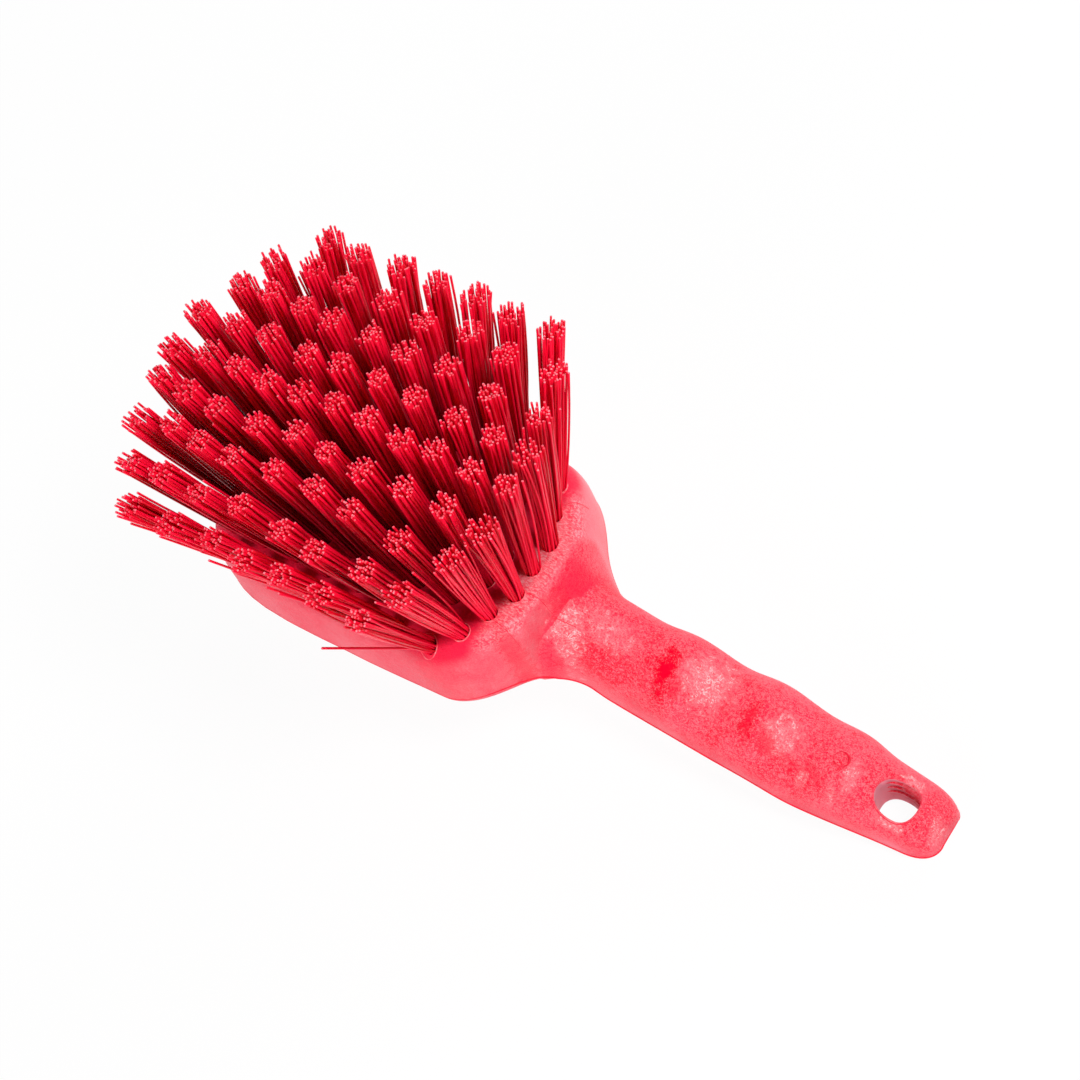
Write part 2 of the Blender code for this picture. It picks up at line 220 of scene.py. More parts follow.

# Marks in the foamed skin, as (spot of the plan, reach along and across, strength): dense saturated
# spots, speckled zones, and the zones of its pale swirls, but for two by the slot's rims, which are
# painted highlights.
DENSE_SPOTS = (
    ((0.0600, 0.0100), (0.0050, 0.0025), 0.30),
    ((0.0836, -0.0034), (0.0023, 0.0062), 1.0),
    ((0.0874, -0.0058), (0.0012, 0.0030), 0.50),
    ((0.1075, -0.0031), (0.0022, 0.0048), 0.75),
    ((0.1133, -0.0062), (0.0022, 0.0032), 0.45),
    ((0.1250, -0.0075), (0.0080, 0.0022), 0.35),
    ((0.0485, -0.0195), (0.0034, 0.0022), 0.45),
    ((0.0330, -0.0335), (0.0070, 0.0060), 0.22),
)
SPECKLED_SPOTS = (
    ((0.0670, -0.0086), (0.0110, 0.0034), 1.0),
    ((0.0590, 0.0070), (0.0060, 0.0030), 0.7),
    ((0.0790, -0.0070), (0.0050, 0.0040), 0.6),
    ((0.1120, -0.0060), (0.0070, 0.0050), 0.4),
)
PALE_SPOTS = (
    ((0.0936, 0.0003), (0.0060, 0.0060), 1.0),
    ((0.1163, -0.0020), (0.0040, 0.0045), 0.8),
    ((0.0570, -0.0065), (0.0044, 0.0052), 1.0),
    ((0.0660, -0.0020), (0.0070, 0.0040), 0.45),
    ((0.1245, -0.0085), (0.0015, 0.0015), 1.0),
    ((0.1360, -0.0030), (0.0016, 0.0040), 0.7),
    ((0.1592, -0.0025), (0.0013, 0.0032), 0.7),
    # These two, along the slot's rims, are painted highlights on its rounded lips.
    ((0.1490, 0.0047), (0.0036, 0.0012), 1.0),
    ((0.1478, -0.0074), (0.0034, 0.0010), 0.8),
    ((0.1326, -0.0088), (0.0012, 0.0016), 0.7),
)
STAIN_EDGE = (0.55, 1.35)
WANDER = 0.6
WANDER_GRAIN = 0.4

# Painted shade on the step, in deep crimson: on its slope, and in a band over the crease. Ranges lie
# along or across the plan.
SLOPE_FACING = (0.38, 0.78)
SLOPE_SHARE = 0.85
SLOPE_SIDE = (0.0070, 0.0120)
SLOPE_FADE = (0.0560, 0.0590)
BAND_SHARE = 0.80
BAND_START = (0.0518, 0.0527)
BAND_START_BEND = 0.35
BAND_CREASE = (0.0538, 0.0541)
BAND_NEAR_END = (-0.0165, -0.0130)
BAND_FAR_END = (0.0020, 0.0060)

# Zones of the skin: the head, and the tuft field where shade is painted on the face, along the plan; the
# walls by the way that they face, with painted light on those that face +Y; and the reach of the slot's
# wall, where light is painted.
HEAD_SKIN_END = (0.0503, 0.0523)
FIELD_SHADE_EDGE = (0.0400, 0.0455)
WALL_FACING = (-0.10, 0.30)
HEAD_WALL_FACING = (0.18, 0.50)
# Painted light: walls that face +Y paler, as if lit from that side.
PAINTED_LIGHT_WALL_FACING = (0.20, 0.80)
PAINTED_LIGHT_WALL_SHARE = 0.55
SLOT_WALL_REACH = (0.0085, 0.0080)

# Noises, as (scale, detail, roughness, distortion), and textures, as a noise with the range of it that
# is drawn out to 0 and 1.
WORM_NOISE = (560.0, 2.0, 0.5, 1.6)
WORM_WIDTH = 0.065
WIRE_NOISE = (4000.0, 3.0, 0.55, 0.0)
STREAK_STRETCH = 0.5
TEXTURES = {
    "cloud": ((95.0, 3.0, 0.5, 0.4), (0.32, 0.68)),
    "mottle": ((400.0, 4.0, 0.6, 0.8), (0.36, 0.64)),
    "grain": ((1600.0, 3.0, 0.74, 1.2), (0.43, 0.59)),
    "fleck": ((1400.0, 2.0, 0.5, 1.0), (0.52, 0.61)),
    "wander": ((330.0, 4.0, 0.65, 1.0), (0.2, 0.8)),
    "streak": ((2000.0, 3.0, 0.65, 0.6), (0.44, 0.62)),
    "fleck_zone": ((150.0, 2.0, 0.55, 0.0), (0.46, 0.60)),
    "speck": ((1100.0, 2.0, 0.6, 1.2), (0.47, 0.54)),
    "worm_gaps": ((504.0, 3.0, 0.6, 0.0), (0.49, 0.55)),
    "thin_grain": ((800.0, 3.0, 0.55, 0.0), (0.35, 0.65)),
    "strand_fade": ((900.0, 2.0, 0.55, 0.0), (0.3, 0.7)),
}

# Colours, linear, and some coats that cover them in part, as (strength, colour).
SKIN_DEEP = (0.97, 0.003, 0.043)
SKIN_LIGHT = (0.98, 0.028, 0.077)
SKIN_MOTTLE = (0.45, (0.98, 0.070, 0.120))
SKIN_GRAIN = (0.52, (1.0, 0.280, 0.320))
SKIN_FLECK = (0.85, (0.95, 0.001, 0.028))
SKIN_SPECK = (0.90, (0.96, 0.001, 0.030))
FACE_DEEP = (0.96, 0.048, 0.095)
FACE_LIGHT = (0.98, 0.140, 0.190)
FACE_STREAK = (0.65, (1.0, 0.460, 0.490))
# Painted shade: the face among the tufts deeper and darker red, as the shade and red light under them.
FACE_PAINTED_SHADE = (0.86, 0.008, 0.055)
# Walls: a plainer skin, and paler than the top, partly as painted light on the sides.
WALL_DEEP = (0.98, 0.060, 0.110)
WALL_LIGHT = (0.99, 0.130, 0.175)
WALL_GRAIN = (0.30, (1.0, 0.260, 0.300))
# Painted light on the walls that face +Y.
WALL_PAINTED_LIGHT = (1.0, 0.320, 0.360)
# Painted light: the slot's wall paler, against the shade in it.
SLOT_WALL_PAINTED_LIGHT = (0.8, (1.0, 0.420, 0.530))
PALE_WASH = (1.0, 0.400, 0.430)
WASH_LEAST = 0.18
WASH_STREAK = 0.50
WORM_STROKE = (1.0, 0.60, 0.62)
DENSE_SPOT = (0.98, 0.0, 0.026)
# Painted shade: the deep crimson of the step's slope and crease.
STEP_PAINTED_SHADE = (1.0, 0.012, 0.058)
THIN_SKINS = {
    "dense_skin": ((0.80, 0.0, 0.022), (0.95, 0.008, 0.050)),
    "seam_skin": ((0.86, 0.004, 0.035), (0.96, 0.040, 0.085)),
    # Painted shade: the pin's ring darker than the skin round it.
    "pin_ring_shade": ((0.70, 0.0, 0.018), (0.90, 0.003, 0.040)),
    "torn_lip": ((0.96, 0.050, 0.095), (1.0, 0.24, 0.28)),
}
STRAND_DEEP = (0.58, 0.0, 0.006)
STRAND_LIGHT = (1.0, 0.004, 0.048)
STRAND_LIGHT_TONE = 0.40
STRAND_FADE = (1.0, 0.012, 0.05)
STRAND_TIP = (1.0, 0.02, 0.06)
STRAND_TIP_START = 0.9
STRAND_COAT_SHARE = 0.3
# Painted shade: the tufts inside the field darkened towards their roots, where shade falls between them.
ROOT_PAINTED_SHADE = (0.22, 0.0, 0.004)
ROOT_SHADE_SHARE = 0.58
ROOT_SHADE_FADE = (0.34, 0.90)
CUT_DEEP = (0.96, 0.05, 0.09)
CUT_LIGHT = (1.0, 0.27, 0.33)
WIRE_DEEP = (0.62, 0.45, 0.22)
WIRE_LIGHT = (0.78, 0.60, 0.34)

# Gloss and relief. Pairs run with the grain, with the dense spots' share or towards the cut end.
SKIN_ROUGHNESS = (0.42, 0.56)
SKIN_SPECULAR = (0.14, 0.02)
SKIN_SHEEN = {"Sheen Weight": 0.22, "Sheen Roughness": 0.2, "Sheen Tint": (1.0, 0.75, 0.78, 1)}
RELIEF = {"Strength": 0.8, "Distance": 0.00016}
RELIEF_MOTTLE = 0.8
RELIEF_GRAIN = 0.5
RELIEF_DENSE = -0.6
THIN_ROUGHNESS = (0.40, 0.55)
THIN_SPECULAR = 0.25
STRAND_ROUGHNESS = (0.25, 0.45)
STRAND_SPECULAR = 0.12
WIRE_ROUGHNESS = (0.28, 0.42)
WIRE_GRAIN = (0.3, 0.7)

# Studio: lamps as (name, place, side, power), and the white floor and world.
LAMPS = (
    ("key", (0.60, 0.10, 0.90), 0.30, 7.3),
    ("fill", (0.1, -1.0, 0.40), 0.6, 7.2),
    ("back", (0.1, 1.0, 0.45), 0.5, 6.0),
)
LAMP_AIM = Vector((0.03, 0.0, 0.03))
WORLD_LEVEL = 0.15
FLOOR_REACH = 3.0
FLOOR_WHITE = 0.95
FLOOR_ROUGHNESS = 0.9
FLOOR_SHADOW = 0.05

# Tessellation counts, and the seed of all random draws.
ARC_STEPS = 14
FLAT_STEPS = 8
FAR_STATIONS = 22
STATION_STEP = 0.0009
STEP_STATIONS = 28
END_STATIONS = 16
HOLE_SIDES = 24
SLOT_SIDES = 64
SLOT_LEVELS = 80
SLOT_LEVELS_PAST = 6
TUBE_SIDES = 6
SEAM_STEPS = 16
SHARP_ANGLE = math.radians(42)
SEED = 11

FACE_Z = HEAD_THICKNESS
SHOULDER_START = HEAD_NEAR_REACH - SHOULDER_RUN
STEP_END = HEAD_NEAR_REACH
STEP_START = STEP_END - STEP_RUN
FIELD_FAR_REACH = HEAD_FAR_REACH - FIELD_FAR_MARGIN
FIELD_NEAR_REACH = STEP_START - FIELD_STEP_MARGIN
FIELD_HALF_LENGTH = (FIELD_FAR_REACH + FIELD_NEAR_REACH) / 2
FIELD_MIDDLE = (FIELD_NEAR_REACH - FIELD_FAR_REACH) / 2
FIELD_HALF_WIDTH = HEAD_WIDTH / 2 - FIELD_SIDE_MARGIN
SLOT_MIDDLE = (HANDLE_REACH - HANG_FROM_END + HANG_SHIFT[0], HANG_SHIFT[1])


def smooth_step(low, high, x):
    """0 below low, 1 above high, with a soft start and end between them."""
    share = min(max((x - low) / (high - low), 0.0), 1.0)
    return share * share * (3.0 - 2.0 * share)


def blend(a, b, share):
    return a + (b - a) * share


def turns(count):
    """The angles of this many even steps round a circle."""
    return [math.tau * step / count for step in range(count)]


def soft_max(a, b, reach):
    """The larger of a and b, with a fillet where they differ by less than reach."""
    near = max(reach - abs(a - b), 0.0) / reach
    return max(a, b) + near * near * reach / 4


def soft_min(a, b, reach):
    return -soft_max(-a, -b, reach)


def edge_fall(x, edge, width, height):
    """How far an elliptic round of this width and height has fallen at x, where it ends at edge."""
    inside = min(max((x - (edge - width)) / width, 0.0), 1.0)
    return height * (1.0 - math.sqrt(1.0 - inside * inside))


def end_share(x):
    """1 along the handle, falling to 0 at its rounded end."""
    inside = min(max((x - (HANDLE_REACH - END_ROUND)) / END_ROUND, 0.0), 1.0)
    return (1.0 - inside**END_CORNER_POWER) ** (1.0 / END_CORNER_POWER)


def handle_size(x, neck, grip, end):
    """A size of the handle's section at x, from its sizes at the neck, the grip and the end."""
    at_grip = blend(neck, grip, smooth_step(STEP_END, GRIP_MIDDLE, x))
    return blend(at_grip, end, smooth_step(HANDLE_REACH - END_TAPER_RUN, HANDLE_REACH, x))


def handle_centre_z(x):
    neck_z = FACE_Z - STEP_DROP - NECK_THICKNESS / 2
    return neck_z - (x - STEP_END) * math.tan(HANDLE_DIP)


def finger_wave(x):
    """The finger waves at x, from -1 in a hollow to 1 on a crest, and 0 past them."""
    last = FINGER_FIRST + (FINGER_COUNT - 1) * FINGER_PITCH
    rise = smooth_step(FINGER_FIRST - FINGER_PITCH, FINGER_FIRST, x)
    fall = smooth_step(last, last + FINGER_PITCH / 2, x)
    return rise * (1.0 - fall) * math.cos(math.tau * (x - FINGER_FIRST) / FINGER_PITCH)


def handle_section(x):
    """Top and bottom height of the handle at x."""
    half = handle_size(x, NECK_THICKNESS, GRIP_THICKNESS, END_THICKNESS) / 2
    centre = handle_centre_z(x)
    top = centre + (half + FINGER_DEPTH / 2 * finger_wave(x)) * end_share(x)
    return top, centre - half * end_share(x)


def plan_half_width(x):
    """Half width of the whole block at x, seen along Z."""
    if x < 0:
        share = min(-x / HEAD_FAR_REACH, 1.0)
        return HEAD_WIDTH / 2 * (1.0 - share**FAR_PLAN_POWER) ** (1.0 / FAR_PLAN_POWER)
    side = HEAD_WIDTH / 2 - SIDE_BOW * (x / SHOULDER_START) ** 2
    slant = blend(HEAD_WIDTH / 2, NECK_WIDTH / 2, (x - SHOULDER_START) / SHOULDER_RUN)
    head = soft_min(side, slant, CORNER_BLEND)
    handle = handle_size(x, NECK_WIDTH, GRIP_WIDTH, END_WIDTH) / 2
    return soft_max(max(head, 0.0), handle * end_share(x), ROOT_BLEND)


def step_share(x, y):
    """0 on the head and 1 on the handle: the step ends in a crease, but runs out softly at +Y."""
    soft = smooth_step(*SOFT_SIDE, y)
    foot = STEP_CREASE + SOFT_FOOT * soft - CREASE_BEND * smooth_step(*BEND_SIDE, -y)
    share = min(max((x - STEP_TOP) / (foot - STEP_TOP), 0.0), 1.0)
    creased = share * share * (3.0 - share) / 2.0
    return blend(creased, share * share * (3.0 - 2.0 * share), soft)


def section_at(x, on_handle):
    """Half width, top and bottom height, and the top and bottom edge rounds, at x.

    on_handle is 0 for the head's section, 1 for the handle's, and between them on the step.
    """
    handle_top, handle_bottom = handle_section(x)
    far_fall = edge_fall(-x, HEAD_FAR_REACH, FACE_EDGE_WIDTH, FACE_EDGE_HEIGHT)
    far_rise = edge_fall(-x, HEAD_FAR_REACH, BACK_EDGE_WIDTH, BACK_EDGE_HEIGHT)
    past_head = smooth_step(HEAD_NEAR_REACH - BACK_BLEND, HEAD_NEAR_REACH + BACK_BLEND, x)
    top = blend(FACE_Z - far_fall, handle_top, on_handle)
    bottom = blend(far_rise, handle_bottom, past_head)
    width = plan_half_width(x)
    height = top - bottom
    head_share = height / HEAD_THICKNESS
    round_y = EDGE_ROUND_SHARE * width
    round_z = EDGE_ROUND_SHARE * height
    face_round = (
        blend(min(FACE_EDGE_WIDTH, round_y), round_y, on_handle),
        blend(head_share * FACE_EDGE_HEIGHT, round_z * (1.0 - PARTING_SHARE), on_handle),
    )
    back_round = (
        blend(min(BACK_EDGE_WIDTH, round_y), round_y, past_head),
        blend(head_share * BACK_EDGE_HEIGHT, round_z * PARTING_SHARE, past_head),
    )
    return width, top, bottom, face_round, back_round


def top_z(x, y):
    """Height of the block's upper surface over the point x, y of the plan."""
    width, top, _, (face_y, face_z), _ = section_at(x, step_share(x, y))
    return top - edge_fall(abs(y), width, face_y, face_z)


def bottom_z(x, y):
    """Height of the block's underside below the point x, y of the plan."""
    width, _, bottom, _, (back_y, back_z) = section_at(x, step_share(x, y))
    return bottom + edge_fall(abs(y), width, back_y, back_z)


def half_section(x, on_handle):
    """Points of the section's +Y half at x, from the middle of its top to the middle of its bottom."""
    width, top, bottom, (face_y, face_z), (back_y, back_z) = section_at(x, on_handle)
    parting_z = bottom + back_z
    swell = FINGER_SWELL / 2 * finger_wave(x) * end_share(x) / width
    points = [((width - face_y) * step / FLAT_STEPS * (1.0 + swell), top) for step in range(FLAT_STEPS)]
    for step in range(ARC_STEPS + 1):
        turn = math.pi / 2 * step / ARC_STEPS
        z = top - face_z + face_z * math.cos(turn)
        grown = 1.0 + swell * smooth_step(0.0, FINGER_SWELL_FADE, (z - parting_z) / (top - parting_z))
        points.append(((width - face_y + face_y * math.sin(turn)) * grown, z))
    for step in range(ARC_STEPS + 1):
        turn = math.pi / 2 * step / ARC_STEPS
        points.append((width - back_y + back_y * math.cos(turn), parting_z - back_z * math.sin(turn)))
    points += [((width - back_y) * (1 - step / FLAT_STEPS), bottom) for step in range(1, FLAT_STEPS + 1)]
    return [Vector((x, y, z)) for y, z in points]


def whole_section(x):
    """Points all round the section at x, with the step where it is on either side."""
    head, handle = half_section(x, 0.0), half_section(x, 1.0)
    sides = []
    for side in (1.0, -1.0):
        points = []
        for high, low in zip(head, handle):
            point = high.lerp(low, step_share(x, side * high.y))
            points.append(Vector((x, side * point.y, point.z)))
        sides.append(points)
    return sides[0] + list(reversed(sides[1][1:-1]))


def spread(low, high, count):
    """Places in equal steps from low, left out, to high."""
    return [blend(low, high, step / count) for step in range(1, count + 1)]


def stations():
    """Places along X of the block's sections, closer at its ends and at the step."""
    places = []
    for step in range(1, FAR_STATIONS + 1):
        share = step / (FAR_STATIONS + 1)
        turn = math.pi / 4 * (share * share + share**3)
        places.append(-HEAD_FAR_REACH * math.cos(turn) ** (2 / FAR_PLAN_POWER))
    places += spread(places[-1], STEP_TOP, round((STEP_TOP - places[-1]) / STATION_STEP))
    places += spread(STEP_TOP, STEP_PAST, STEP_STATIONS)
    end = HANDLE_REACH - END_ROUND
    places += spread(STEP_PAST, end, round((end - STEP_PAST) / STATION_STEP))
    for step in range(1, END_STATIONS + 1):
        turn = math.pi / 2 * step / (END_STATIONS + 1)
        places.append(end + END_ROUND * math.sin(turn))
    return places


def uneven(point):
    """A slight unevenness of the moulding, as a shift of the surface."""
    return UNEVEN_HEIGHT * noise.noise_vector(point * UNEVEN_SCALE)


def new_object(name, data):
    """An object in the scene, with its mesh, lamp or camera."""
    thing = bpy.data.objects.new(name, data)
    bpy.context.scene.collection.objects.link(thing)
    return thing


def mesh_from(bm, name):
    mesh = bpy.data.meshes.new(name)
    bm.to_mesh(mesh)
    bm.free()
    return mesh


def ring_points(middle, radius, side, up, count, spin=0.0):
    """Points of a ring about middle, in the plane of side and up."""
    angles = [spin + turn for turn in turns(count)]
    return [middle + radius * (math.cos(turn) * side + math.sin(turn) * up) for turn in angles]


def join_rings(bm, rings, closed=False):
    """Faces from each ring of vertices to the next, and from the last to the first if closed."""
    for number in range(len(rings) if closed else len(rings) - 1):
        ring, ahead = rings[number], rings[(number + 1) % len(rings)]
        for corner in range(len(ring)):
            after = (corner + 1) % len(ring)
            bm.faces.new((ring[corner], ring[after], ahead[after], ahead[corner]))


def block_body():
    """The block's outer shape: a loft through closed sections."""
    bm = bmesh.new()
    rings = []
    for x in stations():
        rings.append([bm.verts.new(point + uneven(point)) for point in whole_section(x)])
    join_rings(bm, rings)
    bm.faces.new(list(reversed(rings[0])))
    bm.faces.new(rings[-1])
    bmesh.ops.recalc_face_normals(bm, faces=bm.faces)
    return mesh_from(bm, "block")


def tuft_places(row):
    """Middles of a row's tufts on the face, seen along Z."""
    count = ROW_TUFTS[row]
    far = -FIELD_FAR_REACH * ROW_REACH_SHARES[row]
    near = FIELD_NEAR_REACH * ROW_REACH_SHARES[row]
    y = FIELD_HALF_WIDTH * ROW_PLACE_SHARES[row]
    slide = ROW_SLIDE_SHARES[row] * (near - far) / (count - 1)
    places = []
    for number in range(count):
        share = number / (count - 1)
        places.append((blend(far, near, share) + 4 * share * (1 - share) * slide, y))
    return places


def all_tufts():
    """Middles of all tufts, row by row."""
    return [place for row in range(len(ROW_TUFTS)) for place in tuft_places(row)]


def tuft_tip(x, y):
    """Middle of a tuft's top: tufts lean outwards with their distance from the middle of the field."""
    along = (x - FIELD_MIDDLE) / FIELD_HALF_LENGTH
    across = y / FIELD_HALF_WIDTH
    drop = CROWN_LENGTH_DROP * along * along + CROWN_WIDTH_DROP * across * across
    curled = blend(across, across**3, FAN_CURL_SHARE)
    return Vector((x + FAN_LENGTH * along, y + FAN_WIDTH * curled, FACE_Z + BRISTLE_HEIGHT - drop))


def on_top(x, y):
    """The point of the block's upper surface over x, y."""
    return Vector((x, y, top_z(x, y)))


def tuft_way(x, y):
    """Middle of a tuft's mouth in the face, and the way it leans from there to its top."""
    mouth = on_top(x, y)
    return mouth, (tuft_tip(x, y) - mouth).normalized()


def add_rod(bm, low, high, radius, sides):
    """A closed straight rod from low to high."""
    along = high - low
    turn = along.to_track_quat("Z", "Y").to_matrix().to_4x4()
    place = Matrix.Translation((low + high) / 2) @ turn
    size = {"radius1": radius, "radius2": radius, "depth": along.length}
    bmesh.ops.create_cone(bm, cap_ends=True, segments=sides, matrix=place, **size)


def bore_top(x, y):
    """How high a straight bore goes: into its leaning mouth, but covered where the head's edge falls."""
    mouth, way = tuft_way(x, y)
    heights = []
    for turn in turns(HOLE_SIDES):
        heights.append(top_z(x + BORE_RADIUS * math.cos(turn), y + BORE_RADIUS * math.sin(turn)))
    return min(mouth.z - way.z * MOUTH_DEPTH * BORE_REACH_SHARE, min(heights) - BORE_COVER)


def bore_cutter():
    """The straight bores that hold the folded ends and their staples, up to the leaning mouths."""
    bm = bmesh.new()
    for x, y in all_tufts():
        low = Vector((x, y, FACE_Z - HOLE_DEPTH))
        add_rod(bm, low, Vector((x, y, bore_top(x, y))), BORE_RADIUS, HOLE_SIDES)
    return new_object("tuft_bores", mesh_from(bm, "tuft_bores"))


def mouth_cutter():
    """The mouths of the tuft holes."""
    bm = bmesh.new()
    for x, y in all_tufts():
        mouth, way = tuft_way(x, y)
        add_rod(bm, mouth - way * MOUTH_DEPTH, mouth + way * MOUTH_DEPTH, MOUTH_RADIUS, HOLE_SIDES)
    return new_object("tuft_mouths", mesh_from(bm, "tuft_mouths"))


def round_over(depth, radius):
    """How far a rim rounded with this radius stands back at this depth below the surface."""
    left = min(max(radius - depth, 0.0), radius)
    return radius - math.sqrt(radius * radius - left * left)


def squarish(wave):
    """A sine or cosine, for an oval that is fuller in its corners."""
    return math.copysign(abs(wave) ** SLOT_SQUARENESS, wave)


def slot_outline(turn):
    """A point of the hanging slot's squarish oval in the plan."""
    x = SLOT_MIDDLE[0] + HANG_LENGTH / 2 * squarish(math.cos(turn))
    return x, SLOT_MIDDLE[1] + HANG_WIDTH / 2 * squarish(math.sin(turn))


def slot_lip(turn):
    """Radius of the slot's upper rim: soft on its +Y side, and nearly sharp on the other."""
    return SLOT_LIP * blend(1.0, SLOT_LIP_SPREAD, max(math.sin(turn - SLOT_LIP_TURN), 0.0))


def slot_cutter():
    """The hanging slot: a squarish oval with rounded rims, and ledges that its core left in the wall."""
    bm = bmesh.new()
    rings = []
    for level in range(-SLOT_LEVELS_PAST, SLOT_LEVELS + SLOT_LEVELS_PAST + 1):
        share = level / SLOT_LEVELS
        ring = []
        for turn in turns(SLOT_SIDES):
            x, y = slot_outline(turn)
            high = top_z(x, y)
            through = high - bottom_z(x, y)
            depth = through * level / SLOT_LEVELS
            wave = SLOT_LEDGE_WAVE * SLOT_LEDGE_PITCH * math.sin(2 * turn + SLOT_LEDGE_WAVE_TURN)
            ledge = ((depth + wave) / SLOT_LEDGE_PITCH) % 1.0
            side = max(math.sin(turn + SLOT_LEDGE_TURN), 0.0)
            side *= 1.0 - smooth_step(*SLOT_LEDGE_FADE, share)
            grow = round_over(depth, slot_lip(turn)) + round_over(through - depth, SLOT_LIP)
            grow += SLOT_LEDGE * (side * ledge - 0.5)
            x += grow * math.cos(turn) - HANG_LEAN * depth
            y += grow * math.sin(turn)
            ring.append(bm.verts.new((x, y, high - depth)))
        rings.append(ring)
    join_rings(bm, rings)
    bm.faces.new(rings[0])
    bm.faces.new(rings[-1])
    bmesh.ops.recalc_face_normals(bm, faces=bm.faces)
    return new_object("hang_slot", mesh_from(bm, "hang_slot"))


def pin_cutter():
    """The round mark that an ejector pin left, as a shallow disc sunk in the handle's top."""
    x, y = PIN_MARK_PLACE
    step = PIN_TILT_REACH
    here = on_top(x, y)
    along = Vector((step, 0, top_z(x + step, y) - here.z))
    across = Vector((0, step, top_z(x, y + step) - here.z))
    up = along.cross(across).normalized()
    bm = bmesh.new()
    add_rod(bm, here - up * PIN_MARK_DEPTH, here + up * PIN_CUT_HEIGHT, PIN_MARK_RADIUS, SLOT_SIDES)
    return new_object("pin_mark", mesh_from(bm, "pin_mark"))


def cut(thing, cutter):
    """Cuts the cutter out of thing for good, and removes it."""
    modifier = thing.modifiers.new("cut", "BOOLEAN")
    modifier.operation = "DIFFERENCE"
    modifier.solver = "EXACT"
    modifier.object = cutter
    bpy.context.view_layer.update()
    graph = bpy.context.evaluated_depsgraph_get()
    mesh = bpy.data.meshes.new_from_object(thing.evaluated_get(graph))
    thing.modifiers.clear()
    thing.data = mesh
    bpy.data.objects.remove(cutter)


def make_block(material):
    """The moulded block with its holes, slot and pin mark."""
    block = new_object("moulded_block", block_body())
    for cutter in (mouth_cutter(), bore_cutter(), slot_cutter(), pin_cutter()):
        cut(block, cutter)
    block.data.shade_smooth()
    block.data.set_sharp_from_angle(angle=SHARP_ANGLE)
    block.data.materials.clear()
    block.data.materials.append(material)
    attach(block, "root")
    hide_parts("handle_block")


def add_tube(bm, points, radii, closed=False):
    """A thin tube along points, closed by caps or into a loop."""
    count = len(points)
    rings = []
    for number, (point, radius) in enumerate(zip(points, radii)):
        ahead = points[(number + 1) % count if closed else min(number + 1, count - 1)]
        behind = points[number - 1 if closed else max(number - 1, 0)]
        along = (ahead - behind).normalized()
        side = along.cross(Vector((0, 0, 1))).normalized()
        ring = ring_points(point, radius, side, side.cross(along), TUBE_SIDES)
        rings.append([bm.verts.new(corner) for corner in ring])
    join_rings(bm, rings, closed)
    if not closed:
        bm.faces.new(list(reversed(rings[0])))
        bm.faces.new(rings[-1])


def finish_lines(bm, name, material):
    """Makes one piece of the thin lines in bm."""
    bmesh.ops.recalc_face_normals(bm, faces=bm.faces)
    lines = new_object(name, mesh_from(bm, name))
    lines.data.shade_smooth()
    lines.data.materials.append(material)
    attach(lines, "root")


def make_flash(material):
    """The bead of flash round the parting line, heavy by the handle's -Y side, and the slot's burrs."""
    bm = bmesh.new()
    side = []
    for x in stations():
        width, _, bottom, _, (_, back_z) = section_at(x, step_share(x, 0.0))
        side.append(Vector((x, width, bottom + back_z)))
    other = [Vector((point.x, -point.y, point.z)) for point in reversed(side)]
    loop = [point + uneven(point) for point in side + other]
    radii = []
    for point in loop:
        heavy = smooth_step(*HEAVY_FLASH_START, point.x) * smooth_step(*HEAVY_FLASH_SIDE, -point.y)
        radii.append(blend(FAINT_FLASH_RADIUS, FLASH_RADIUS, heavy))
    add_tube(bm, loop, radii, closed=True)
    low = []
    for turn in turns(SLOT_SIDES):
        x, y = slot_outline(turn)
        x -= HANG_LEAN * (top_z(x, y) - bottom_z(x, y))
        low.append(Vector((x, y, bottom_z(x, y) + SLOT_LIP / 2)))
    add_tube(bm, low, [BURR_RADIUS] * len(low), closed=True)
    near = []
    for step in range(SLOT_SIDES // 2 + 1):
        x, y = slot_outline(math.pi + math.pi * step / (SLOT_SIDES // 2))
        near.append(Vector((x, y, top_z(x, y) - SLOT_LIP / 2)))
    add_tube(bm, near, [BURR_RADIUS] * len(near))
    finish_lines(bm, "mould_flash", material)


def make_seams(material):
    """Fine raised seams where the mould's inserts met."""
    bm = bmesh.new()
    for seam in SEAMS:
        points = []
        for (x0, y0), (x1, y1) in zip(seam, seam[1:]):
            for step in range(SEAM_STEPS):
                x = blend(x0, x1, step / SEAM_STEPS)
                y = blend(y0, y1, step / SEAM_STEPS)
                points.append(on_top(x, y))
        add_tube(bm, points, [SEAM_RADIUS] * len(points))
    finish_lines(bm, "mould_seams", material)


def make_pin_ring(material):
    """The ring that the ejector pin left, heavier on one side, in a dark colour: painted shade in the
    pin mark's wall, most on that side.
    """
    bm = bmesh.new()
    ring, radii = [], []
    for turn in turns(SLOT_SIDES):
        x = PIN_MARK_PLACE[0] + PIN_MARK_RADIUS * math.cos(turn)
        y = PIN_MARK_PLACE[1] + PIN_MARK_RADIUS * math.sin(turn)
        ring.append(on_top(x, y))
        heavy = max(math.cos(turn - PIN_RING_SHADE_SIDE), 0.0)
        radii.append(PIN_RING_RADIUS * (PIN_RING_LIGHT_SHARE + heavy))
    add_tube(bm, ring, radii, closed=True)
    finish_lines(bm, "pin_ring", material)


